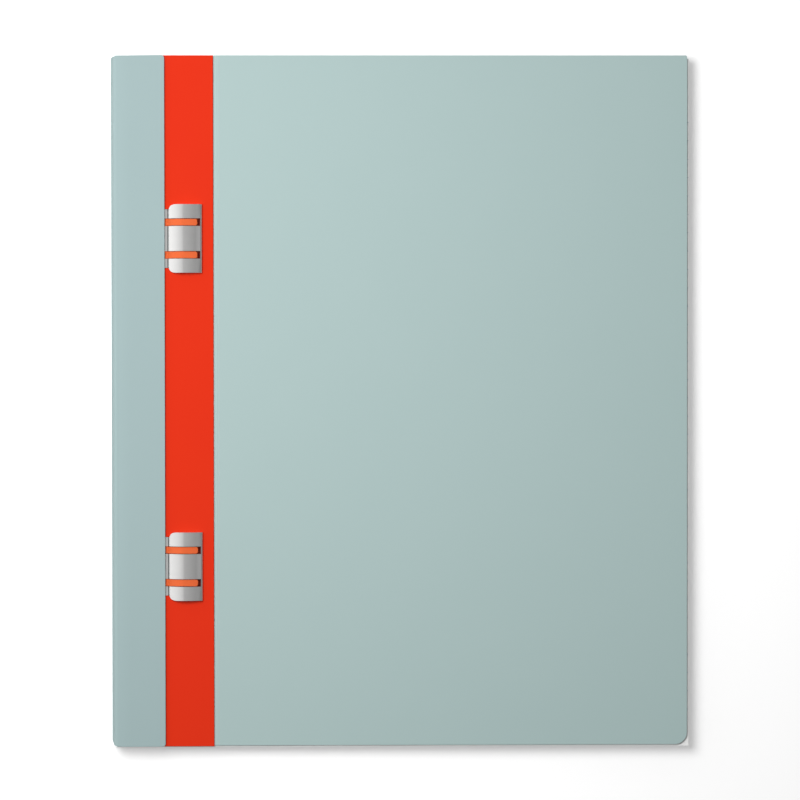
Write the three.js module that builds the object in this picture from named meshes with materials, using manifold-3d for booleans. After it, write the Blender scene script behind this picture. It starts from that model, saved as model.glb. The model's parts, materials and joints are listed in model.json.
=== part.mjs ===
// A notebook whose loose pages are held by two steel prong fasteners, each locked by a metal clip
// that slides towards the spine. It lies on its back cover. Lengths are in millimetres.
// While the pieces are built, x runs from the spine to the fore edge, y from the middle of the
// covers to the head, and z up from the table.

import * as THREE from 'three';
import { mergeVertices } from 'three/addons/utils/BufferGeometryUtils.js';
import Module from 'manifold-3d';

const wasm = await Module();
wasm.setup();

// Covers, spine and pages
const coverWidth = 220;
const coverHeight = 263;
const coverThickness = 1;
const coverFootRadius = 4.6;
const coverHeadRadius = 0.6;
const creaseDistance = 40.9;
const creaseGap = 0.3;
const wrapThickness = 1;
const wrapFoldRadius = 1.8;
const spineClearance = 0.2;
const flapWidth = 20.8;
const flapCornerRadius = 1.1;
const foldHeadSlope = { length: 16, drop: 0.6 };
const foldFootSlope = { length: 4.5, drop: 1.7 };
const innerHeadSlope = { length: 14, drop: 0.8 };
const innerFootSlope = { length: 4, drop: 1 };
const pagesThickness = 6;
const pagesOverhang = 0.4;
const pagesHeadGap = 1.2;
const punchRadius = 2.75;

// Binding strip and the thinned edge of the front cover below it
const stripEdge = 39.3;
const flangeThickness = 0.4;
const lipClearance = 0.1;

// Slide clips
const clipSpacing = 124.7;
const clipFootShift = 0.45;
const clipLength = 26;
const clipReach = 14.2;
const clipGauge = 0.6;
const clipTravel = 1;
const travelClearance = 0.1;
const crownSetback = 7.4;
const crownHeight = 2.6;
const endHeight = 1.4;
const clipCornerRadius = 0.5;
const clipShoulderLength = 2.9;
const tongueLength = 7;
const tongueHalfWidth = 10.8;
const slideClearance = 0.05;
const runningClearance = 0.1;

// Guides in the slots of the clips
const slotOffset = 6.2;
const slotWidth = 2.9;
const ribClearance = 0.2;
const ribSink = 0.25;
const ribTail = 1.2;
const ribEndRadius = 0.8;
const guideFloor = 0.5;
const windowClearance = 0.4;

// Steel prong fasteners
const prongOffset = 9.5;
const prongSetback = 4.7;
const prongThickness = 0.8;
const prongWidth = 2.2;
const prongClearance = 0.15;
const hookLength = 0.8;
const hookThickness = 0.4;
const hookRise = 1.4;
const keeperWidth = 1.3;
const keeperClearance = 0.25;
const plateWidth = 7;
const plateLength = 24.4;
const plateThickness = 0.4;
const plateCornerRadius = 2;
const recessDepth = 0.5;
const recessClearance = 0.3;

// Levels, from the table up
const backTop = wrapThickness;
const pagesTop = backTop + pagesThickness;
const flangeTop = pagesTop + flangeThickness;
const coverTop = pagesTop + coverThickness;
const guideTop = pagesTop + guideFloor;
const tongueBottom = guideTop + slideClearance;
const tongueTop = tongueBottom + clipGauge;
const stripTop = tongueTop + slideClearance;
const flapTop = stripTop + wrapThickness;
const clipBottom = stripTop + runningClearance;
const crownTop = stripTop + crownHeight;
const endTop = stripTop + endHeight;
const hookTop = stripTop + hookRise;
const hookBottom = hookTop - hookThickness;

// Places along x
const creaseFrom = creaseDistance - creaseGap / 2;
const creaseTo = creaseDistance + creaseGap / 2;
const innerStart = wrapFoldRadius + spineClearance;
const tongueStart = flapWidth - tongueLength;
const rampStart = flapWidth + clipTravel + travelClearance;
const clipEnd = flapWidth + clipReach;
const crownX = clipEnd - crownSetback;
const ribStart = flapWidth - ribTail;
const ribEnd = clipEnd - clipGauge - clipTravel - travelClearance;
const windowStart = tongueStart - clipTravel - 3 * travelClearance;
const windowEnd = clipEnd - clipGauge;
const prongEnd = clipEnd - prongSetback;
const prongStart = prongEnd - prongThickness;
const hookStart = prongStart - hookLength;

// Places along y
const head = coverHeight / 2;
const windowHalfWidth = tongueHalfWidth + windowClearance;
const clipHalf = clipLength / 2;
const clipPlaces = {
  upper: clipSpacing / 2 - clipFootShift,
  lower: -clipSpacing / 2 - clipFootShift,
};

// A closed three.js geometry as a solid that can be joined and cut.
function solid(geometry) {
  geometry.deleteAttribute('normal');
  geometry.deleteAttribute('uv');
  const merged = mergeVertices(geometry, 1e-4);
  return new wasm.Manifold(new wasm.Mesh({
    numProp: 3,
    vertProperties: merged.attributes.position.array,
    triVerts: new Uint32Array(merged.index.array),
  }));
}

// An outline in x and y, raised from one level to another.
function raised(shape, from, to, curveSegments = 10) {
  const geometry = new THREE.ExtrudeGeometry(shape, {
    depth: to - from,
    bevelEnabled: false,
    curveSegments,
  });
  return solid(geometry.translate(0, 0, from));
}

// A section in x and z, swept along y.
function swept(shape, from, to, curveSegments = 10) {
  const geometry = new THREE.ExtrudeGeometry(shape, {
    depth: to - from,
    bevelEnabled: false,
    curveSegments,
  });
  return solid(geometry.rotateX(Math.PI / 2).translate(0, to, 0));
}

function block(xFrom, xTo, yFrom, yTo, zFrom, zTo) {
  const geometry = new THREE.BoxGeometry(xTo - xFrom, yTo - yFrom, zTo - zFrom);
  geometry.translate((xFrom + xTo) / 2, (yFrom + yTo) / 2, (zFrom + zTo) / 2);
  return solid(geometry);
}

// A rectangle with a radius at each corner: foot left, foot right, head right, head left.
function rectangle(xFrom, xTo, yFrom, yTo, radii = [0, 0, 0, 0]) {
  const [footLeft, footRight, headRight, headLeft] = radii;
  const shape = new THREE.Shape();
  shape.moveTo(xFrom + footLeft, yFrom);
  shape.lineTo(xTo - footRight, yFrom);
  if (footRight > 0) {
    shape.absarc(xTo - footRight, yFrom + footRight, footRight, -Math.PI / 2, 0);
  }
  shape.lineTo(xTo, yTo - headRight);
  if (headRight > 0) {
    shape.absarc(xTo - headRight, yTo - headRight, headRight, 0, Math.PI / 2);
  }
  shape.lineTo(xFrom + headLeft, yTo);
  if (headLeft > 0) {
    shape.absarc(xFrom + headLeft, yTo - headLeft, headLeft, Math.PI / 2, Math.PI);
  }
  shape.lineTo(xFrom, yFrom + footLeft);
  if (footLeft > 0) {
    shape.absarc(xFrom + footLeft, yFrom + footLeft, footLeft, Math.PI, 1.5 * Math.PI);
  }
  return shape;
}

function coverRadii() {
  return [0, coverFootRadius, coverHeadRadius, 0];
}

// The folded sheet: hinge flange of the back cover, spine wall and front flap in one.
function spineWrap() {
  const inner = wrapFoldRadius - wrapThickness;
  const section = new THREE.Shape();
  section.moveTo(creaseFrom, 0);
  section.lineTo(creaseFrom, backTop);
  section.lineTo(wrapFoldRadius, backTop);
  section.absarc(wrapFoldRadius, wrapFoldRadius, inner, 1.5 * Math.PI, Math.PI, true);
  section.lineTo(wrapThickness, flapTop - wrapFoldRadius);
  section.absarc(wrapFoldRadius, flapTop - wrapFoldRadius, inner, Math.PI, Math.PI / 2, true);
  section.lineTo(flapWidth, stripTop);
  section.lineTo(flapWidth, flapTop);
  section.lineTo(wrapFoldRadius, flapTop);
  section.absarc(wrapFoldRadius, flapTop - wrapFoldRadius, wrapFoldRadius, Math.PI / 2, Math.PI);
  section.lineTo(0, wrapFoldRadius);
  section.absarc(wrapFoldRadius, wrapFoldRadius, wrapFoldRadius, Math.PI, 1.5 * Math.PI);
  let wrap = swept(section, -head, head, 6);

  // The head and the foot fall away a little towards the fold.
  const plan = new THREE.Shape();
  plan.moveTo(0, -head + foldFootSlope.drop);
  plan.quadraticCurveTo(0, -head, foldFootSlope.length, -head);
  plan.lineTo(creaseFrom, -head);
  plan.lineTo(creaseFrom, head);
  plan.lineTo(foldHeadSlope.length, head);
  plan.quadraticCurveTo(foldHeadSlope.length / 3, head, 0, head - foldHeadSlope.drop);
  plan.lineTo(0, -head + foldFootSlope.drop);
  wrap = wrap.intersect(raised(plan, 0, flapTop));

  // The free corners of the flap are rounded.
  const corners = [0, flapCornerRadius, flapCornerRadius, 0];
  const corner = rectangle(0, flapWidth, -head, head, corners);
  const flapKept = raised(corner, stripTop, flapTop);
  const flapRoom = block(0, creaseFrom, -head, head, stripTop, flapTop);
  wrap = wrap.subtract(flapRoom.subtract(flapKept));

  for (const y of Object.values(clipPlaces)) {
    wrap = wrap.subtract(raised(plateOutline(y, recessClearance), 0, recessDepth));
    for (const side of [-1, 1]) {
      wrap = wrap.subtract(prongSlot(y + side * prongOffset, 0, backTop));
    }
  }
  return wrap;
}

function backCoverPanel() {
  return raised(rectangle(creaseTo, coverWidth, -head, head, coverRadii()), 0, coverThickness);
}

function frontCoverPanel() {
  const outline = rectangle(creaseTo, coverWidth, -head, head, coverRadii());
  return raised(outline, pagesTop, coverTop);
}

// The edge of the front cover: thin below the strip, full beside it as far as the crease.
function frontCoverFlange() {
  const lip = stripEdge + lipClearance;
  const section = new THREE.Shape();
  section.moveTo(innerStart, pagesTop);
  section.lineTo(creaseFrom, pagesTop);
  section.lineTo(creaseFrom, coverTop);
  section.lineTo(lip, coverTop);
  section.lineTo(lip, flangeTop);
  section.lineTo(innerStart, flangeTop);
  return fitted(swept(section, -head, head));
}

function bindingStrip() {
  return fitted(block(innerStart, stripEdge, -head, head, flangeTop, stripTop));
}

// A sheet inside the fold: its corners fall away with the fold, and windows hold the guides.
function fitted(sheet) {
  const plan = new THREE.Shape();
  plan.moveTo(innerStart, -head + innerFootSlope.drop);
  plan.lineTo(innerStart + innerFootSlope.length, -head);
  plan.lineTo(creaseFrom, -head);
  plan.lineTo(creaseFrom, head);
  plan.lineTo(innerStart + innerHeadSlope.length, head);
  plan.lineTo(innerStart, head - innerHeadSlope.drop);
  sheet = sheet.intersect(raised(plan, pagesTop, stripTop));
  for (const y of Object.values(clipPlaces)) {
    const half = windowHalfWidth;
    sheet = sheet.subtract(block(windowStart, windowEnd, y - half, y + half, pagesTop, stripTop));
  }
  return sheet;
}

// The pages stand proud of the covers at the fore edge and at the foot.
function pageBlock() {
  const end = coverWidth + pagesOverhang;
  const outline = rectangle(innerStart, end, -head - pagesOverhang, head - pagesHeadGap);
  for (const y of Object.values(clipPlaces)) {
    for (const side of [-1, 1]) {
      const hole = new THREE.Path();
      hole.absarc((hookStart + prongEnd) / 2, y + side * prongOffset, punchRadius, 0, 2 * Math.PI);
      outline.holes.push(hole);
    }
  }
  return raised(outline, backTop, pagesTop, 12);
}

// A slot that the stem and hook of a prong pass through.
function prongSlot(y, zFrom, zTo) {
  const half = prongWidth / 2 + prongClearance;
  const xFrom = hookStart - prongClearance;
  const xTo = prongEnd + prongClearance;
  return block(xFrom, xTo, y - half, y + half, zFrom, zTo);
}

function plateOutline(y, clearance) {
  const middle = (hookStart + prongEnd) / 2;
  const halfWidth = plateWidth / 2 + clearance;
  const halfLength = plateLength / 2 + clearance;
  const radius = plateCornerRadius + clearance;
  const radii = [radius, radius, radius, radius];
  return rectangle(middle - halfWidth, middle + halfWidth, y - halfLength, y + halfLength, radii);
}

// A base plate in its recess in the back, with two prongs that end in a hook towards the spine.
function prongFastener(y) {
  const plateBottom = recessDepth - plateThickness;
  let fastener = raised(plateOutline(y, 0), plateBottom, recessDepth);
  const section = new THREE.Shape();
  section.moveTo(prongStart, plateBottom + plateThickness / 2);
  section.lineTo(prongEnd, plateBottom + plateThickness / 2);
  section.lineTo(prongEnd, hookTop);
  section.lineTo(hookStart, hookTop);
  section.lineTo(hookStart, hookBottom);
  section.lineTo(prongStart, hookBottom);
  for (const side of [-1, 1]) {
    const middle = y + side * prongOffset;
    fastener = fastener.add(swept(section, middle - prongWidth / 2, middle + prongWidth / 2));
  }
  return fastener;
}

// The arch of a clip, from the ramp over the crown to the end wall, lowered by some depth.
function archOver(shape, depth, inset) {
  const start = rampStart + 2 * inset;
  const end = clipEnd - inset;
  const shoulder = (crownX - rampStart) / 2;
  shape.lineTo(start, tongueTop + inset / 2 - depth);
  shape.quadraticCurveTo(start + shoulder - inset / 2, crownTop - inset - depth - clipGauge / 2,
    crownX, crownTop - inset - depth);
  shape.quadraticCurveTo((crownX + end) / 2, crownTop - inset - depth - clipGauge / 3,
    end - clipGauge, endTop - inset - depth);
  shape.quadraticCurveTo(end, endTop - inset - depth - clipGauge / 3,
    end, endTop - inset - depth - clipGauge);
}

// A guide: a floor that fills the window, with a rib for each slot of the clip.
function clipGuide(y) {
  const half = windowHalfWidth;
  let guide = block(windowStart, windowEnd, y - half, y + half, pagesTop, guideTop);
  const section = new THREE.Shape();
  section.moveTo(ribStart, pagesTop + guideFloor / 2);
  section.lineTo(ribStart, tongueTop - ribSink);
  archOver(section, ribSink, 0);
  section.lineTo(clipEnd, pagesTop + guideFloor / 2);
  const ribHalf = slotWidth / 2 - ribClearance;
  const ends = [0, ribEndRadius, ribEndRadius, 0];
  for (const side of [-1, 1]) {
    const middle = y + side * slotOffset;
    const plan = rectangle(ribStart, ribEnd, middle - ribHalf, middle + ribHalf, ends);
    const rib = swept(section, middle - ribHalf, middle + ribHalf, 8);
    guide = guide.add(rib.intersect(raised(plan, pagesTop, crownTop)));
    guide = guide.subtract(prongSlot(y + side * prongOffset, pagesTop, guideTop));
  }
  return guide;
}

// Seen from above, a clip is narrower at its tongue and widens to full length over the ramp.
function clipOutline(y, inset) {
  const end = clipEnd - inset;
  const half = clipHalf - inset;
  const narrow = tongueHalfWidth - inset;
  const radius = clipCornerRadius;
  const shoulder = rampStart + clipShoulderLength;
  const shape = new THREE.Shape();
  shape.moveTo(tongueStart, y - narrow);
  shape.lineTo(rampStart, y - narrow);
  shape.quadraticCurveTo(rampStart + radius / 2, y - half, shoulder, y - half);
  shape.lineTo(end - radius, y - half);
  shape.absarc(end - radius, y - half + radius, radius, -Math.PI / 2, 0);
  shape.lineTo(end, y + half - radius);
  shape.absarc(end - radius, y + half - radius, radius, 0, Math.PI / 2);
  shape.lineTo(shoulder, y + half);
  shape.quadraticCurveTo(rampStart + radius / 2, y + half, rampStart, y + narrow);
  shape.lineTo(tongueStart, y + narrow);
  return shape;
}

// An arched metal clip: a tongue below the flap, a ramp, a crown and walls on three sides,
// with two slots for the ribs and two keepers that lie below the hooks.
function slideClip(y) {
  const bend = rampStart + clipGauge;
  const skin = new THREE.Shape();
  skin.moveTo(tongueStart, tongueBottom);
  skin.lineTo(tongueStart, tongueTop);
  archOver(skin, 0, 0);
  skin.lineTo(clipEnd, clipBottom);
  skin.lineTo(bend + clipGauge / 2, clipBottom);
  skin.lineTo(bend, tongueBottom);
  let clip = swept(skin, y - clipHalf, y + clipHalf, 12);
  clip = clip.intersect(raised(clipOutline(y, 0), tongueBottom, crownTop));

  const hollow = new THREE.Shape();
  const hollowStart = rampStart + 2 * clipGauge;
  hollow.moveTo(hollowStart, tongueBottom);
  archOver(hollow, 0, clipGauge);
  hollow.lineTo(clipEnd - clipGauge, tongueBottom);
  const hollowOutline = raised(clipOutline(y, clipGauge), tongueBottom, crownTop);
  clip = clip.subtract(swept(hollow, y - clipHalf, y + clipHalf, 12).intersect(hollowOutline));

  const slotEnd = clipEnd - clipGauge;
  const slotStart = ribStart - ribClearance;
  const keeperTop = hookBottom - keeperClearance;
  const keeperEnd = prongStart - ribClearance;
  const keeperStart = keeperEnd - keeperWidth;
  for (const side of [-1, 1]) {
    const outer = y + side * clipLength;
    const low = [y + side * tongueHalfWidth, outer].sort((a, b) => a - b);
    clip = clip.subtract(block(tongueStart, crownX, ...low, tongueBottom, clipBottom));
    const keeperFrom = y + side * (slotOffset + slotWidth / 2);
    const keeperTo = y + side * (clipHalf - clipGauge / 2);
    const keeper = [keeperFrom, keeperTo].sort((a, b) => a - b);
    clip = clip.add(block(keeperStart, keeperEnd, ...keeper, clipBottom, keeperTop));
    const slotMiddle = y + side * slotOffset;
    const slotFrom = slotMiddle - slotWidth / 2;
    const slotTo = slotMiddle + slotWidth / 2;
    clip = clip.subtract(block(slotStart, slotEnd, slotFrom, slotTo, tongueBottom, crownTop));
  }
  return clip;
}

const finishes = {
  sage: { color: 0xb0c4c4, roughness: 0.55, metalness: 0 },
  orange: { color: 0xe83e20, roughness: 0.5, metalness: 0 },
  lightOrange: { color: 0xeb6e41, roughness: 0.5, metalness: 0 },
  paper: { color: 0xfafaf7, roughness: 0.9, metalness: 0 },
  steel: { color: 0xb9bbbd, roughness: 0.35, metalness: 1 },
  satinMetal: { color: 0xc7c7c6, roughness: 0.4, metalness: 1 },
};

const notebook = new THREE.Group();

// Adds a solid as a named mesh.
function add(name, manifold, finish) {
  const mesh = manifold.getMesh();
  const geometry = new THREE.BufferGeometry();
  geometry.setAttribute('position', new THREE.BufferAttribute(mesh.vertProperties, 3));
  geometry.setIndex(new THREE.BufferAttribute(mesh.triVerts, 1));
  geometry.computeVertexNormals();
  const piece = new THREE.Mesh(geometry, new THREE.MeshStandardMaterial(finishes[finish]));
  piece.name = name;
  notebook.add(piece);
}

add('spine_wrap', spineWrap(), 'sage');
add('back_cover_panel', backCoverPanel(), 'sage');
add('front_cover_panel', frontCoverPanel(), 'sage');
add('front_cover_flange', frontCoverFlange(), 'sage');
add('binding_strip', bindingStrip(), 'orange');
add('page_block', pageBlock(), 'paper');
for (const [place, y] of Object.entries(clipPlaces)) {
  add(`${place}_prong_fastener`, prongFastener(y), 'steel');
  add(`${place}_clip_guide`, clipGuide(y), 'lightOrange');
  add(`${place}_slide_clip`, slideClip(y), 'satinMetal');
}

// The part's origin is below the middle of everything, on the table.
notebook.position.set(-(coverWidth + pagesOverhang) / 2, pagesOverhang / 2, 0);

export default notebook;
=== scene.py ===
import json
import math
import random

import bmesh
import bpy
from mathutils import Matrix, Vector


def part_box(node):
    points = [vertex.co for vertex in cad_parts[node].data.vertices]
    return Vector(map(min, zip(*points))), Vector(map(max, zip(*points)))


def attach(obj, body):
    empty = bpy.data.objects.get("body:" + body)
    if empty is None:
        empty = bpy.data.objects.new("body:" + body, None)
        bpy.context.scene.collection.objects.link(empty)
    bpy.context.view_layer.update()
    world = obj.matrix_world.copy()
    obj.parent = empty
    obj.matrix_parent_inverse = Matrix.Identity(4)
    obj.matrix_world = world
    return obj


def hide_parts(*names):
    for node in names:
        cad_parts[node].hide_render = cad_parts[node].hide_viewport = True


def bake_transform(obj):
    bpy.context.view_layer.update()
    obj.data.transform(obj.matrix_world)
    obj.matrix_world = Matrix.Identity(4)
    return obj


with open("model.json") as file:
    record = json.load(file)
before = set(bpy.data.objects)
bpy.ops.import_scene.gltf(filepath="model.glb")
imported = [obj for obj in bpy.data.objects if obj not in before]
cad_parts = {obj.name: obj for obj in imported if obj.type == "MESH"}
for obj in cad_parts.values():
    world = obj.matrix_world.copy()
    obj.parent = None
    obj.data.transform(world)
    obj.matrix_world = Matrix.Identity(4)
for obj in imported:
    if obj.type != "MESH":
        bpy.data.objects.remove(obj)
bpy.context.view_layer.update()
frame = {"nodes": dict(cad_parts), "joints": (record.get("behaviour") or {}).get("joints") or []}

mm = 0.001

# Places and levels that the frame gives. Both covers are set back a little at the fore edge,
# and the front one at the foot too, so that more of the paper shows.
wrapLow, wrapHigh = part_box("spine_wrap")
panelLow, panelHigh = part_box("front_cover_panel")
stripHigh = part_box("binding_strip")[1]
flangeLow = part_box("front_cover_flange")[0]
guideLow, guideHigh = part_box("upper_clip_guide")
pagesLow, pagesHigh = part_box("page_block")
spineX, flapTop = wrapLow.x, wrapHigh.z
coverSetback = 0.3 * mm
footY, headY = panelLow.y + coverSetback, panelHigh.y
foreX, coverTop = panelHigh.x - coverSetback, panelHigh.z
pagesTop = pagesHigh.z
creaseX = frame["joints"][0]["pos_m"][0]
sheetThickness = panelHigh.z - panelLow.z
close = 1e-6  # two places this near are the same

sheet = {
    "flapWidth": 20.8 * mm,
    "foldRadius": 1.8 * mm,
    "wallLean": 1.15 * mm,
    "flapBow": 0.3 * mm,
    "bowLength": 8.5 * mm,
    "flapCorner": 1.1 * mm,
    "footCorner": 4.6 * mm,
    "headCorner": 0.6 * mm,
    "headSlope": (16 * mm, 0.6 * mm, 1.0),
    "footSlope": (4.5 * mm, 1.7 * mm, 0.5),
    "topRound": 0.6 * mm,
    "lowRound": 0.2 * mm,
    "flapRound": 0.18 * mm,
    "creaseDepth": 0.05 * mm,
    "creaseWidth": 0.6 * mm,
    "bendFrom": 0.3 * mm,
    "bendTo": 1.9 * mm,
}


class Signal:
    def __init__(self, finish, socket):
        self.finish = finish
        self.socket = socket

    def maths(self, operation, first, second):
        return self.finish.node("ShaderNodeMath", {"operation": operation}, {0: first, 1: second})

    def __add__(self, other):
        return self.maths("ADD", self, other)

    def __sub__(self, other):
        return self.maths("SUBTRACT", self, other)

    def __rsub__(self, other):
        return self.maths("SUBTRACT", other, self)

    def __mul__(self, other):
        return self.maths("MULTIPLY", self, other)

    def __gt__(self, other):
        return self.maths("GREATER_THAN", self, other)

    def __lt__(self, other):
        return self.maths("LESS_THAN", self, other)

    __radd__ = __add__
    __rmul__ = __mul__


class Finish:
    def __init__(self, tree):
        self.tree = tree

    def node(self, kind, settings=None, sockets=None, output=0):
        made = self.tree.nodes.new(kind)
        for key, value in (settings or {}).items():
            if key == "stops":
                elements = made.color_ramp.elements
                for count, (place, shade) in enumerate(value):
                    stop = elements[count] if count < 2 else elements.new(place)
                    stop.position = place
                    stop.color = (shade, shade, shade, 1)
            else:
                setattr(made, key, value)
        for key, value in (sockets or {}).items():
            self.feed(made.inputs[key], value)
        return Signal(self, made.outputs[output])

    def feed(self, socket, value):
        if isinstance(value, Signal):
            self.tree.links.new(value.socket, socket)
        else:
            socket.default_value = value

    def place(self, scale=(1, 1, 1)):
        spot = self.node("ShaderNodeTexCoord", output="Object")
        return self.node("ShaderNodeMapping", sockets={"Vector": spot, "Scale": scale})

    def noise(self, spot, scale, detail=2.0):
        return self.node("ShaderNodeTexNoise", sockets={"Vector": spot, "Scale": scale, "Detail": detail})

    def mix(self, factor, first, second):
        first, second = (tone if isinstance(tone, Signal) else (*tone, 1) for tone in (first, second))
        return self.node("ShaderNodeMix", {"data_type": "RGBA"}, {0: factor, 6: first, 7: second}, 2)

    def bump(self, height, depth):
        return self.node("ShaderNodeBump", sockets={"Height": height, "Distance": depth})


def newFinish(name):
    material = bpy.data.materials.new(name)
    material.use_nodes = True
    return material, Finish(material.node_tree), material.node_tree.nodes["Principled BSDF"]


coverLook = {
    "front": {"light": (0.428, 0.553, 0.543), "deep": (0.408, 0.535, 0.525),
              "gloss": 0.45, "roughness": 0.46},
    "back": {"light": (0.372, 0.483, 0.486), "deep": (0.356, 0.466, 0.471),
             "gloss": 0.1, "roughness": 0.8},
    "grain": 1700,
    "grainRoughness": 0.06,
    "cloud": 60,
    "depth": 0.012 * mm,
}


def coverSheetFinish(name):
    material, finish, shader = newFinish(name + "CoverSheet")
    look = coverLook[name]
    spot = finish.place()
    grain = finish.noise(spot, coverLook["grain"], 3.0)
    cloud = finish.noise(spot, coverLook["cloud"], 4.0)
    tone = grain * 0.5 + cloud * 0.5
    finish.feed(shader.inputs["Base Color"], finish.mix(tone, look["deep"], look["light"]))
    roughness = look["roughness"] + coverLook["grainRoughness"] * (grain - 0.5)
    finish.feed(shader.inputs["Roughness"], roughness)
    finish.feed(shader.inputs["Normal"], finish.bump(grain, coverLook["depth"]))
    shader.inputs["Specular IOR Level"].default_value = look["gloss"]
    return material


plasticLook = {
    "strip": {"shade": (0.77, 0.034, 0.006), "deep": (0.74, 0.028, 0.008), "roughness": 0.45},
    # The guides are the strip's orange plastic painted lighter: a painted sheen on their ribs.
    "guide": {"shade": (0.80, 0.150, 0.045), "deep": (0.78, 0.135, 0.040), "roughness": 0.45,
              # painted shade: a dark colour for the slot floor past the ribs
              "paintedShade": (0.16, 0.012, 0.006)},
    # how far back from the guide's end that painted shade reaches
    "paintedShadeLength": 1.05 * mm,
    "cloud": 25,
    "grain": 2600,
    "grainRoughness": 0.08,
    "depth": 0.006 * mm,
    "gloss": 0.2,
}


def plasticFinish(name):
    look = plasticLook[name]
    material, finish, shader = newFinish(name + "Plastic")
    spot = finish.place()
    cloud = finish.noise(spot, plasticLook["cloud"], 3.0)
    grain = finish.noise(spot, plasticLook["grain"], 2.0)
    tone = finish.mix(cloud, look["deep"], look["shade"])

    # The floor past the end of the ribs lies deep in its slot; its colour there is painted dark, a painted
    # shadow in place of the slot's shade.
    if "paintedShade" in look:
        x = finish.node("ShaderNodeSeparateXYZ", sockets={0: spot}, output=0)
        tone = finish.mix(x > guideHigh.x - plasticLook["paintedShadeLength"], tone, look["paintedShade"])
    finish.feed(shader.inputs["Base Color"], tone)
    roughness = look["roughness"] + plasticLook["grainRoughness"] * (grain - 0.5)
    finish.feed(shader.inputs["Roughness"], roughness)
    finish.feed(shader.inputs["Normal"], finish.bump(grain, plasticLook["depth"]))
    shader.inputs["Specular IOR Level"].default_value = plasticLook["gloss"]
    return material


metalLook = {
    "clip": {"light": (0.80, 0.795, 0.785), "deep": (0.74, 0.735, 0.73), "roughness": 0.36},
    "prong": {"light": (0.62, 0.62, 0.625), "deep": (0.56, 0.56, 0.565), "roughness": 0.32},
    "brush": 6000,
    "brushStretch": (1, 0.06, 1),
    "brushRoughness": 0.10,
    "cloud": 400,
    "depth": 0.002 * mm,
}


def metalFinish(name):
    look = metalLook[name]
    material, finish, shader = newFinish(name + "Metal")
    brushed = finish.noise(finish.place(metalLook["brushStretch"]), metalLook["brush"], 3.0)
    cloud = finish.noise(finish.place(), metalLook["cloud"], 2.0)
    finish.feed(shader.inputs["Base Color"], finish.mix(cloud, look["deep"], look["light"]))
    roughness = look["roughness"] + metalLook["brushRoughness"] * (brushed - 0.5)
    finish.feed(shader.inputs["Roughness"], roughness)
    finish.feed(shader.inputs["Normal"], finish.bump(brushed, metalLook["depth"]))
    shader.inputs["Metallic"].default_value = 1.0
    return material


paperLook = {
    "light": (0.97, 0.97, 0.96),
    "deep": (0.94, 0.94, 0.93),
    "rule": (0.55, 0.64, 0.70),
    "ruleStep": 7 * mm,
    "ruleWidth": 0.22 * mm,
    "topMargin": 20 * mm,
    "footMargin": 9 * mm,
    "fibre": 1400,
    "depth": 0.01 * mm,
    "roughness": 0.85,
    "gloss": 0.2,
}


def paperFinish():
    material, finish, shader = newFinish("looseLeafPaper")
    spot = finish.place()
    fibre = finish.noise(spot, paperLook["fibre"], 4.0)
    paper = finish.mix(fibre, paperLook["deep"], paperLook["light"])
    y, z = [finish.node("ShaderNodeSeparateXYZ", sockets={0: spot}, output=i) for i in (1, 2)]
    step = paperLook["ruleStep"]
    wave = finish.node("ShaderNodeMath", {"operation": "PINGPONG"}, {0: y + headY, 1: step / 2})
    lines = wave < paperLook["ruleWidth"] / 2
    inside = (y < headY - paperLook["topMargin"]) * (y > footY + paperLook["footMargin"])
    onTop = z > pagesTop - 0.03 * mm
    ruled = finish.mix(lines * inside * onTop, paper, paperLook["rule"])
    finish.feed(shader.inputs["Base Color"], ruled)
    finish.feed(shader.inputs["Normal"], finish.bump(fibre, paperLook["depth"]))
    shader.inputs["Roughness"].default_value = paperLook["roughness"]
    shader.inputs["Specular IOR Level"].default_value = paperLook["gloss"]
    return material


finishes = {
    "cover_sheet": coverSheetFinish("front"),
    "back_sheet": coverSheetFinish("back"),
    "orange_plastic": plasticFinish("strip"),
    "light_orange_plastic": plasticFinish("guide"),
    "satin_metal": metalFinish("clip"),
    "steel": metalFinish("prong"),
    "pages": paperFinish(),
}
print("finishes made")


# Closes a bmesh into an object of the scene.
def placed(name, bm):
    mesh = bpy.data.meshes.new(name)
    bm.to_mesh(mesh)
    bm.free()
    made = bpy.data.objects.new(name, mesh)
    bpy.context.scene.collection.objects.link(made)
    return made


# Makes a piece of the notebook with its finish, in place of some nodes of the frame.
def finishedPiece(name, bm, slot, nodes, sharpAngle=40, finish=None):
    piece = placed(name, bm)
    for face in piece.data.polygons:
        face.use_smooth = True
    piece.data.set_sharp_from_angle(angle=math.radians(sharpAngle))
    piece.data.materials.append(finishes[finish or slot])
    weighted = piece.modifiers.new("flatFaces", "WEIGHTED_NORMAL")
    weighted.keep_sharp = True
    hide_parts(*nodes)
    return piece


def flatSheet(xFrom, xTo, yFrom, yTo, z):
    bm = bmesh.new()
    bmesh.ops.create_grid(bm, x_segments=1, y_segments=1, size=0.5)
    bmesh.ops.scale(bm, vec=(xTo - xFrom, yTo - yFrom, 1), verts=bm.verts)
    bmesh.ops.translate(bm, vec=((xFrom + xTo) / 2, (yFrom + yTo) / 2, z), verts=bm.verts)
    return bm


def cutLine(bm, place, normal):
    geometry = bm.verts[:] + bm.edges[:] + bm.faces[:]
    bmesh.ops.bisect_plane(bm, geom=geometry, dist=1e-7, plane_co=place, plane_no=normal)


def roundEdges(bm, edges, offset, segments):
    bmesh.ops.bevel(bm, geom=edges, offset=offset, offset_type="OFFSET", segments=segments,
                    profile=0.5, affect="EDGES", material=-1, clamp_overlap=True)


def sharpEdges(bm, angle, keep=lambda edge: True):
    limit = math.radians(angle)
    return [edge for edge in bm.edges
            if len(edge.link_faces) == 2 and edge.calc_face_angle() > limit and keep(edge)]


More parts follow.
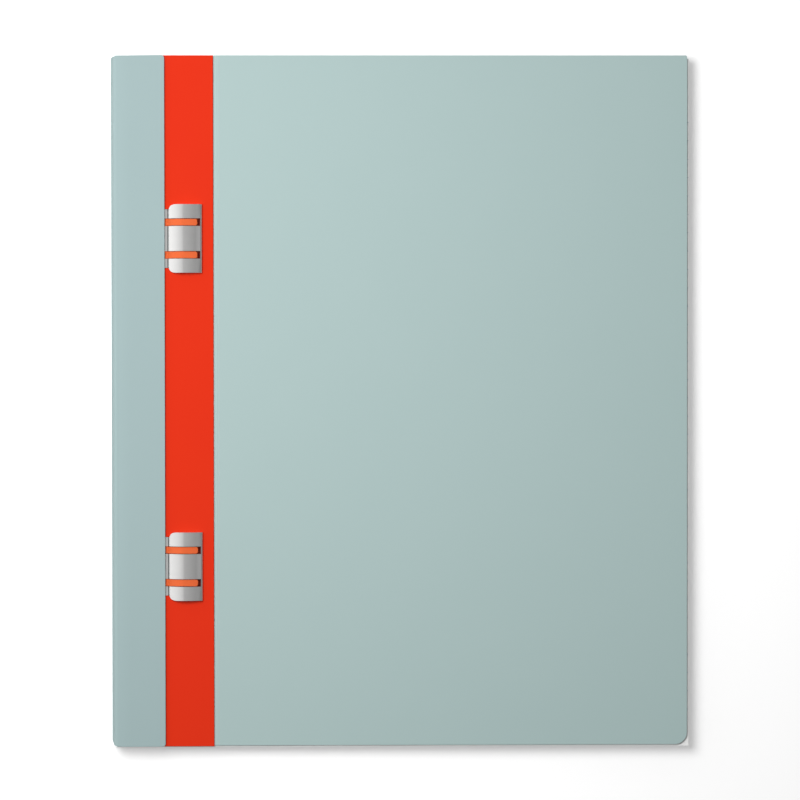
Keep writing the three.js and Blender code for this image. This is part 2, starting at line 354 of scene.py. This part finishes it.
# Rounds the rim of a sheet: its outer edge broadly, its other edges a little
def roundRim(bm, onRim, outer):
    rim = sharpEdges(bm, 50, onRim)
    broad = [edge for edge in rim if outer(edge)]
    roundEdges(bm, broad, sheet["topRound"], 4)
    rest = sharpEdges(bm, 50, lambda edge: onRim(edge) and not outer(edge))
    roundEdges(bm, rest, sheet["lowRound"], 2)


def middleOf(edge):
    return (edge.verts[0].co + edge.verts[1].co) / 2


# How far a crease sinks at some distance from its middle
def creaseSink(x):
    reach = abs(x - creaseX) / (sheet["creaseWidth"] / 2)
    return sheet["creaseDepth"] * (1 + math.cos(math.pi * reach)) / 2 if reach < 1 else 0


def bendLines():
    lines = [creaseX + sheet["creaseWidth"] * k / 8 for k in range(-4, 5)]
    step = 0.25 * mm
    count = int((sheet["bendTo"] - sheet["creaseWidth"] / 2) / step) + 1
    lines += [creaseX + sheet["creaseWidth"] / 2 + step * (k + 1) for k in range(count)]
    return lines


frontCover = {
    "lipDrop": 0.32 * mm,
    "lipGap": 0.04 * mm,
    "lipStep": 0.02 * mm,
    "lipRise": 1.6,
    "edgeThickness": 0.4 * mm,  # below the strip
}


# One sheet: thin below the strip, a lip beside it, the crease and the panel.
def makeFrontCover():
    lipX = stripHigh.x + frontCover["lipGap"]
    lipStart = lipX + frontCover["lipStep"]
    bm = flatSheet(flangeLow.x, foreX, footY, headY, pagesTop)
    slope = [lipX + (creaseX - lipX) * k / 8 for k in range(1, 8)]
    for x in [guideLow.x, guideHigh.x, lipX, lipStart, *slope, *bendLines()]:
        cutLine(bm, (x, 0, 0), (1, 0, 0))
    windows = []
    for name in ("upper", "lower"):
        low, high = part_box(name + "_clip_guide")
        windows.append((low.y, high.y))
        for y in windows[-1]:
            cutLine(bm, (0, y, 0), (0, 1, 0))
    gone = []
    for face in bm.faces:
        middle = face.calc_center_median()
        acrossWindow = any(low < middle.y < high for low, high in windows)
        if acrossWindow and guideLow.x < middle.x < guideHigh.x:
            gone.append(face)
    bmesh.ops.delete(bm, geom=gone, context="FACES")
    raised = bmesh.ops.extrude_face_region(bm, geom=bm.faces[:])["geom"]
    for vert in [part for part in raised if isinstance(part, bmesh.types.BMVert)]:
        x = vert.co.x
        if x < lipX + frontCover["lipStep"] / 2:
            vert.co.z = flangeLow.z + frontCover["edgeThickness"]
        elif x < creaseX:
            share = (x - lipStart) / (creaseX - lipStart)
            drop = frontCover["lipDrop"] * (1 - share) ** frontCover["lipRise"]
            vert.co.z = coverTop - drop - creaseSink(x)
        else:
            vert.co.z = coverTop - creaseSink(x)
    bmesh.ops.recalc_face_normals(bm, faces=bm.faces[:])
    for y, radius, segments in ((footY, sheet["footCorner"], 12), (headY, sheet["headCorner"], 4)):
        corner = [edge for edge in bm.edges
                  if abs(middleOf(edge).x - foreX) < close and abs(middleOf(edge).y - y) < close]
        roundEdges(bm, corner, radius, segments)
    middleZ = (pagesTop + coverTop) / 2
    roundRim(bm, lambda edge: min(vert.co.x for vert in edge.verts) > lipX,
             lambda edge: middleOf(edge).z > middleZ)
    piece = finishedPiece("front_cover", bm, "cover_sheet", ["front_cover_panel", "front_cover_flange"])
    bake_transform(piece)


# The outer face of the folded sheet, from the flap's edge round the spine to the fore edge.
def wrapProfile():
    radius = sheet["foldRadius"]
    centreX = spineX + radius
    points = [(spineX + sheet["flapWidth"], flapTop)]

    # Towards the fold the flap bows down, and the wall of the spine leans in at its top.
    leanX = centreX + sheet["wallLean"]
    leanTop = flapTop - sheet["flapBow"]
    bowFrom = spineX + sheet["bowLength"]
    steps = 16
    for k in range(steps + 1):
        x = bowFrom + (leanX + 0.2 * mm - bowFrom) * k / steps
        points.append((x, flapTop - sheet["flapBow"] * ((bowFrom - x) / (bowFrom - leanX)) ** 2.5))

    # The two folds, and the back up to its crease
    arc = 12
    for k in range(arc + 1):
        turn = math.radians(102) + math.radians(70) * k / arc
        points.append((leanX + radius * math.cos(turn), leanTop - radius + radius * math.sin(turn)))
    for k in range(arc + 1):
        turn = math.pi + math.pi / 2 * k / arc
        points.append((centreX + radius * math.cos(turn), radius + radius * math.sin(turn)))
    points += [(spineX + x * mm, 0) for x in (2.4, 3.2, 4.5, 6, 8, 10, 12)]
    points += [(x, creaseSink(x)) for x in bendLines()]
    points.append((foreX, 0))
    return points


def makeBackCover():
    profile = wrapProfile()
    last = len(profile) - 1
    bm = bmesh.new()
    bmesh.ops.create_grid(bm, x_segments=last, y_segments=1, size=0.5)
    for vert in bm.verts:
        x, z = profile[round((vert.co.x + 0.5) * last)]
        atHead = vert.co.y > 0
        length, drop, bow = sheet["headSlope"] if atHead else sheet["footSlope"]
        fall = drop * max(0, 1 - max(0, (x - spineX) / length) ** bow) ** 2
        vert.co = (x, headY - fall if atHead else wrapLow.y + fall, z)
    bmesh.ops.recalc_face_normals(bm, faces=bm.faces[:])
    spineFace = min(bm.faces, key=lambda face: face.calc_center_median().x)
    if spineFace.normal.x > 0:
        bmesh.ops.reverse_faces(bm, faces=bm.faces[:])
    bmesh.ops.solidify(bm, geom=bm.faces[:], thickness=sheetThickness)
    corners = ((spineX + sheet["flapWidth"], wrapLow.y, sheet["flapCorner"], 6),
               (spineX + sheet["flapWidth"], headY, sheet["flapCorner"], 6),
               (foreX, wrapLow.y, sheet["footCorner"], 12),
               (foreX, headY, sheet["headCorner"], 4))
    for x, y, radius, segments in corners:
        corner = [edge for edge in bm.edges
                  if abs(edge.verts[0].co.z - edge.verts[1].co.z) > sheetThickness / 2
                  and abs(middleOf(edge).x - x) < close and abs(middleOf(edge).y - y) < close]
        roundEdges(bm, corner, radius, segments)
    flapX = spineX + sheet["flapWidth"] - close

    def onFlap(edge):
        return middleOf(edge).z > flapTop / 2

    flapEnd = [edge for edge in sharpEdges(bm, 50, onFlap) if min(vert.co.x for vert in edge.verts) > flapX]
    roundEdges(bm, flapEnd, sheet["flapRound"], 2)
    roundRim(bm, lambda edge: not onFlap(edge) or max(vert.co.x for vert in edge.verts) < flapX,
             lambda edge: middleOf(edge).z > flapTop - sheetThickness / 2)
    piece = finishedPiece("back_cover", bm, "cover_sheet", ["spine_wrap", "back_cover_panel"],
                          finish="back_sheet")
    cutAway(piece, [recessCutter(name) for name in ("upper", "lower")])
    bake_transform(piece)


recess = {"clearance": 0.3 * mm, "depth": 0.5 * mm, "corner": 2.3 * mm, "below": 1 * mm}


# A block with round corners, as large as the room that a prong plate needs.
def recessCutter(name):
    low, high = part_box(name + "_prong_fastener")
    gap = recess["clearance"]
    bm = flatSheet(low.x - gap, high.x + gap, low.y - gap, high.y + gap, -recess["below"])
    raised = bmesh.ops.extrude_face_region(bm, geom=bm.faces[:])["geom"]
    top = [part for part in raised if isinstance(part, bmesh.types.BMVert)]
    bmesh.ops.translate(bm, vec=(0, 0, recess["below"] + recess["depth"]), verts=top)
    upright = [edge for edge in bm.edges if abs(edge.verts[0].co.z - edge.verts[1].co.z) > close]
    roundEdges(bm, upright, recess["corner"], 6)
    bmesh.ops.recalc_face_normals(bm, faces=bm.faces[:])
    return placed(name + "Recess", bm)


# Cuts the cutters out of a piece and removes them.
def cutAway(piece, cutters):
    for tool in cutters:
        cut = piece.modifiers.new("cut", "BOOLEAN")
        cut.operation = "DIFFERENCE"
        cut.solver = "EXACT"
        cut.object = tool
        piece.modifiers.move(len(piece.modifiers) - 1, 0)
    weighted = piece.modifiers["flatFaces"]
    weighted.show_viewport = False
    graph = bpy.context.evaluated_depsgraph_get()
    graph.update()
    cutMesh = bpy.data.meshes.new_from_object(piece.evaluated_get(graph))
    for cut in [modifier for modifier in piece.modifiers if modifier.type == "BOOLEAN"]:
        piece.modifiers.remove(cut)
    weighted.show_viewport = True
    piece.data = cutMesh
    for tool in cutters:
        bpy.data.objects.remove(tool)


edgeRounds = {"strip": 0.15 * mm, "guide": 0.18 * mm, "prongs": 0.08 * mm}


# A copy of a node's solid with its sharp edges rounded
def softened(name, node, slot, width):
    bm = bmesh.new()
    bm.from_mesh(frame["nodes"][node].data)
    bmesh.ops.remove_doubles(bm, verts=bm.verts[:], dist=close)
    bmesh.ops.dissolve_limit(bm, angle_limit=math.radians(1), verts=bm.verts[:], edges=bm.edges[:])
    roundEdges(bm, sharpEdges(bm, 30), width, 3)
    piece = finishedPiece(name, bm, slot, [node], 30)
    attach(piece, "binding")


clip = {
    "gauge": 0.6 * mm,
    "tongueSink": 0.05 * mm,
    "tongueLength": 7 * mm,
    "tongueHalf": 11.1 * mm,
    "slotStart": 1.4 * mm,
    "rampStart": 1.1 * mm,
    "lead": 0.05 * mm,  # the ramp bends up from this far before its start
    "follow": 0.4 * mm,  # to this far after it
    "liftHeight": 0.55 * mm,
    "archReach": 4 * mm,
    "archDip": 0.1 * mm,
    "sideStart": 0.5 * mm,  # the clip widens from here, above the strip
    "shoulder": 2.9 * mm,
    "shoulderLead": 0.25 * mm,
    "reach": 14.2 * mm,
    "crown": 7.2 * mm,
    "crownHeight": 2.6 * mm,
    "endHeight": 1.4 * mm,
    "skirtGap": 0.1 * mm,
    "slotOffset": 6.2 * mm,
    "slotWidth": 2.9 * mm,
    "bendRadius": 0.62 * mm,
    "edgeRound": 0.28 * mm,
}


# Points on a curve that leaves its start and meets its end towards a control point
def bowed(start, control, end, steps):
    points = []
    for k in range(1, steps + 1):
        t = k / steps
        points.append(tuple(a * (1 - t) ** 2 + 2 * b * t * (1 - t) + c * t * t
                            for a, b, c in zip(start, control, end)))
    return points


# The outer face of a clip, from its tongue over the crown and down the end wall
def clipProfile():
    flapX = spineX + sheet["flapWidth"]
    stripTop = stripHigh.z
    gauge = clip["gauge"]
    tongueTop = stripTop - clip["tongueSink"]
    lift = (flapX + clip["rampStart"] - clip["lead"], tongueTop)
    start = (flapX + clip["rampStart"] + clip["follow"], tongueTop + clip["liftHeight"])
    crown = (flapX + clip["crown"], stripTop + clip["crownHeight"])
    endX = flapX + clip["reach"]
    endTop = stripTop + clip["endHeight"]
    points = [(flapX - clip["tongueLength"], tongueTop), (flapX - clip["slotStart"], tongueTop), lift]
    points += bowed(lift, (flapX + clip["rampStart"], tongueTop), start, 6)
    arch = (flapX + clip["rampStart"] + clip["archReach"], crown[1] - clip["archDip"])
    points += bowed(start, arch, crown, 14)
    points += bowed(crown, ((crown[0] + endX) / 2, crown[1] - gauge / 3), (endX - gauge, endTop), 10)
    points += bowed((endX - gauge, endTop), (endX, endTop - gauge / 3), (endX, endTop - gauge), 5)
    points.append((endX, stripTop + clip["skirtGap"]))
    return points


def makeClip(name):
    low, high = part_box(name + "_slide_clip")
    middleY = (low.y + high.y) / 2
    fullHalf = (high.y - low.y) / 2
    narrow = clip["tongueHalf"]
    profile = clipProfile()
    last = len(profile) - 1
    rampX = spineX + sheet["flapWidth"] + clip["rampStart"] + clip["sideStart"]
    slotEnd = profile[-1][0] - clip["gauge"]
    inner = clip["slotOffset"] - clip["slotWidth"] / 2
    outer = clip["slotOffset"] + clip["slotWidth"] / 2
    rows = [-1, -outer, -inner, inner, outer, 1]  # 1 stands for the side of the clip
    sideBows = bowed((rampX, narrow), (rampX + clip["shoulderLead"], fullHalf),
                     (rampX + clip["shoulder"], fullHalf), 24)

    # Half the width of the clip at some place along it
    def halfAt(x):
        if x <= rampX:
            return narrow
        before = (rampX, narrow)
        for after in sideBows:
            if x <= after[0]:
                share = (x - before[0]) / (after[0] - before[0])
                return before[1] + (after[1] - before[1]) * share
            before = after
        return fullHalf

    bm = bmesh.new()
    bmesh.ops.create_grid(bm, x_segments=last, y_segments=len(rows) - 1, size=0.5)
    for vert in bm.verts:
        x, z = profile[round((vert.co.x + 0.5) * last)]
        row = rows[round((vert.co.y + 0.5) * (len(rows) - 1))]
        y = row * halfAt(x) if abs(row) == 1 else row
        vert.co = (x, middleY + y, z)
    slotFrom = profile[1][0]
    gone = []
    for face in bm.faces:
        middle = face.calc_center_median()
        if slotFrom < middle.x < slotEnd and inner < abs(middle.y - middleY) < outer:
            gone.append(face)
    bmesh.ops.delete(bm, geom=gone, context="FACES")

    # The side walls are turned down from the long edges.
    skirtBottom = profile[-1][1]
    sides = [edge for edge in bm.edges
             if edge.is_boundary and abs(middleOf(edge).y - middleY) > outer + 1 * mm
             and min(vert.co.z for vert in edge.verts) > skirtBottom + close
             and abs(edge.verts[0].co.x - edge.verts[1].co.x) > close]
    turned = bmesh.ops.extrude_edge_only(bm, edges=sides)["geom"]
    for part in turned:
        if isinstance(part, bmesh.types.BMVert):
            part.co.z = skirtBottom
    bmesh.ops.remove_doubles(bm, verts=bm.verts[:], dist=close)
    bmesh.ops.recalc_face_normals(bm, faces=bm.faces[:])
    crownFace = max(bm.faces, key=lambda face: face.calc_center_median().z)
    if crownFace.normal.z < 0:
        bmesh.ops.reverse_faces(bm, faces=bm.faces[:])
    roundEdges(bm, sharpEdges(bm, 40), clip["bendRadius"], 4)
    bmesh.ops.solidify(bm, geom=bm.faces[:], thickness=clip["gauge"])
    bmesh.ops.recalc_face_normals(bm, faces=bm.faces[:])

    # The far end of each slot is cut square to the strip.
    for vert in bm.verts:
        inSlot = inner - close < abs(vert.co.y - middleY) < outer + close
        if inSlot and slotEnd - clip["gauge"] < vert.co.x < slotEnd and vert.co.z > skirtBottom:
            vert.co.x = slotEnd
    roundEdges(bm, sharpEdges(bm, 60), clip["edgeRound"], 3)
    piece = finishedPiece(name + "_clip", bm, "satin_metal", [name + "_slide_clip"], 30)
    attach(piece, name + "_clip")


pages = {"sheets": 60, "evenSheets": 2, "ragged": 0.16 * mm, "groove": 0.05 * mm, "seam": 0.18}


# Sixty loose sheets, each with its own edge
def makePages():
    bm = flatSheet(pagesLow.x, pagesHigh.x, pagesLow.y, pagesHigh.y, pagesLow.z)
    middle = (pagesLow + pagesHigh) / 2
    full = pagesHigh - pagesLow
    chance = random.Random(11)
    leaf = (pagesTop - pagesLow.z) / pages["sheets"]

    # Grows the pile by a step, with its outline drawn in by some amount
    def grow(rise, drawnIn):
        faces = [face for face in bm.faces if face.tag] or bm.faces[:]
        made = bmesh.ops.extrude_face_region(bm, geom=faces)["geom"]
        verts = [part for part in made if isinstance(part, bmesh.types.BMVert)]
        for face in bm.faces:
            face.tag = False
        for part in made:
            if isinstance(part, bmesh.types.BMFace):
                part.tag = True
        for vert in verts:
            vert.co.x = middle.x + math.copysign(full.x / 2 - drawnIn, vert.co.x - middle.x)
            vert.co.y = middle.y + math.copysign(full.y / 2 - drawnIn, vert.co.y - middle.y)
            vert.co.z += rise

    last = pages["sheets"] - 1
    seam = pages["seam"]
    for count in range(pages["sheets"]):
        even = count > last - pages["evenSheets"]
        drawn = 0 if even else pages["ragged"] * chance.random()
        grow(leaf * seam, drawn)
        grow(leaf * (1 - 2 * seam), drawn)
        grow(leaf * seam, drawn + (0 if count == last else pages["groove"]))
    bmesh.ops.recalc_face_normals(bm, faces=bm.faces[:])
    piece = finishedPiece("pages", bm, "pages", ["page_block"], 20)
    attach(piece, "binding")


makeFrontCover()
makeBackCover()
print("covers made")
makePages()
print("pages made")
softened("strip", "binding_strip", "orange_plastic", edgeRounds["strip"])
for place in ("upper", "lower"):
    makeClip(place)
    softened(place + "_guide", place + "_clip_guide", "light_orange_plastic", edgeRounds["guide"])
    softened(place + "_prongs", place + "_prong_fastener", "steel", edgeRounds["prongs"])
print("strip, clips, guides and prongs made")


studio = {
    "floorSize": 6.0,
    "floorDepth": 0.02 * mm,
    "floorShade": 0.9,
    "floorLift": 0.30,
    "keyPlace": (-0.209, 0.154, 0.55),
    "keySize": 0.36,
    "keyPower": 3.05,
    "skyStops": [(0.0, 1.7), (0.04, 1.35), (0.1, 1.0), (0.25, 0.82), (0.5, 0.60), (0.62, 0.44),
                 (0.75, 0.28), (1.0, 0.24)],
    "skyHeadward": 0.45,
    "skyShare": 0.45,
    "cameraDistance": 1.1,
    "cameraTilt": (0.95, 0.74),
    "cameraRoll": -0.06,
    "aim": (0.04 * mm, 0.66 * mm, 8 * mm),
    "frameWidth": 304.66 * mm,
}


def makeFloor():
    half = studio["floorSize"] / 2
    bm = flatSheet(-half, half, -half, half, -studio["floorDepth"])
    floor = placed("floor", bm)
    material, finish, shader = newFinish("floorPaper")
    seen = finish.node("ShaderNodeLightPath", output="Is Camera Ray")
    glossy = finish.node("ShaderNodeLightPath", output="Is Glossy Ray")
    through = finish.node("ShaderNodeLightPath", output="Is Transmission Ray")
    lit = seen + glossy + through
    shade = studio["floorShade"]
    shader.inputs["Base Color"].default_value = (shade, shade, shade, 1)
    shader.inputs["Roughness"].default_value = 1.0
    shader.inputs["Specular IOR Level"].default_value = 0.0
    shader.inputs["Emission Color"].default_value = (1, 1, 1, 1)
    finish.feed(shader.inputs["Emission Strength"], lit * studio["floorLift"])

    # From below the floor is clear.
    below = finish.node("ShaderNodeNewGeometry", output="Backfacing")
    clear = finish.node("ShaderNodeBsdfTransparent")
    surface = Signal(finish, shader.outputs["BSDF"])
    mixed = finish.node("ShaderNodeMixShader", sockets={0: below, 1: surface, 2: clear})
    finish.feed(material.node_tree.nodes["Material Output"].inputs["Surface"], mixed)
    floor.data.materials.append(material)


def makeLight():
    lamp = bpy.data.lights.new("key", "AREA")
    lamp.shape = "DISK"
    lamp.size = studio["keySize"]
    lamp.energy = studio["keyPower"]
    holder = bpy.data.objects.new("key", lamp)
    holder.location = studio["keyPlace"]
    holder.rotation_euler = (-Vector(studio["keyPlace"])).to_track_quat("-Z", "Y").to_euler()
    holder.visible_glossy = False
    bpy.context.scene.collection.objects.link(holder)
    world = bpy.data.worlds.new("studio")
    world.use_nodes = True
    bpy.context.scene.world = world
    sky = Finish(world.node_tree)
    around = sky.node("ShaderNodeTexCoord", output="Generated")
    side = sky.node("ShaderNodeSeparateXYZ", sockets={0: around}, output=0)
    headward = sky.node("ShaderNodeSeparateXYZ", sockets={0: around}, output=1)
    across = side * 0.5 + 0.5 - headward * studio["skyHeadward"]
    ramp = sky.node("ShaderNodeValToRGB", {"stops": studio["skyStops"]}, {0: across})
    glossy = sky.node("ShaderNodeLightPath", output="Is Glossy Ray")
    share = studio["skyShare"]
    background = world.node_tree.nodes["Background"]
    sky.feed(background.inputs["Color"], ramp)
    sky.feed(background.inputs["Strength"], glossy * (1 - share) + share)


def makeCamera():
    camera = bpy.data.cameras.new("camera")
    camera.sensor_width = 36
    camera.lens = camera.sensor_width * studio["cameraDistance"] / studio["frameWidth"]
    camera.clip_start = 0.01
    camera.clip_end = 50
    holder = bpy.data.objects.new("camera", camera)
    headward, spineward = (math.radians(angle) for angle in studio["cameraTilt"])
    offset = Vector((-math.tan(spineward), math.tan(headward), 1)) * studio["cameraDistance"]
    holder.location = Vector(studio["aim"]) + offset
    roll = Matrix.Rotation(math.radians(studio["cameraRoll"]), 3, "Z")
    lean = Matrix.Rotation(spineward, 3, "Y").inverted() @ Matrix.Rotation(headward, 3, "X").inverted()
    holder.rotation_euler = (roll @ lean).to_euler()
    bpy.context.scene.collection.objects.link(holder)
    bpy.context.scene.camera = holder


makeFloor()
makeLight()
makeCamera()
bpy.context.scene.view_settings.view_transform = "Standard"
print("studio made")
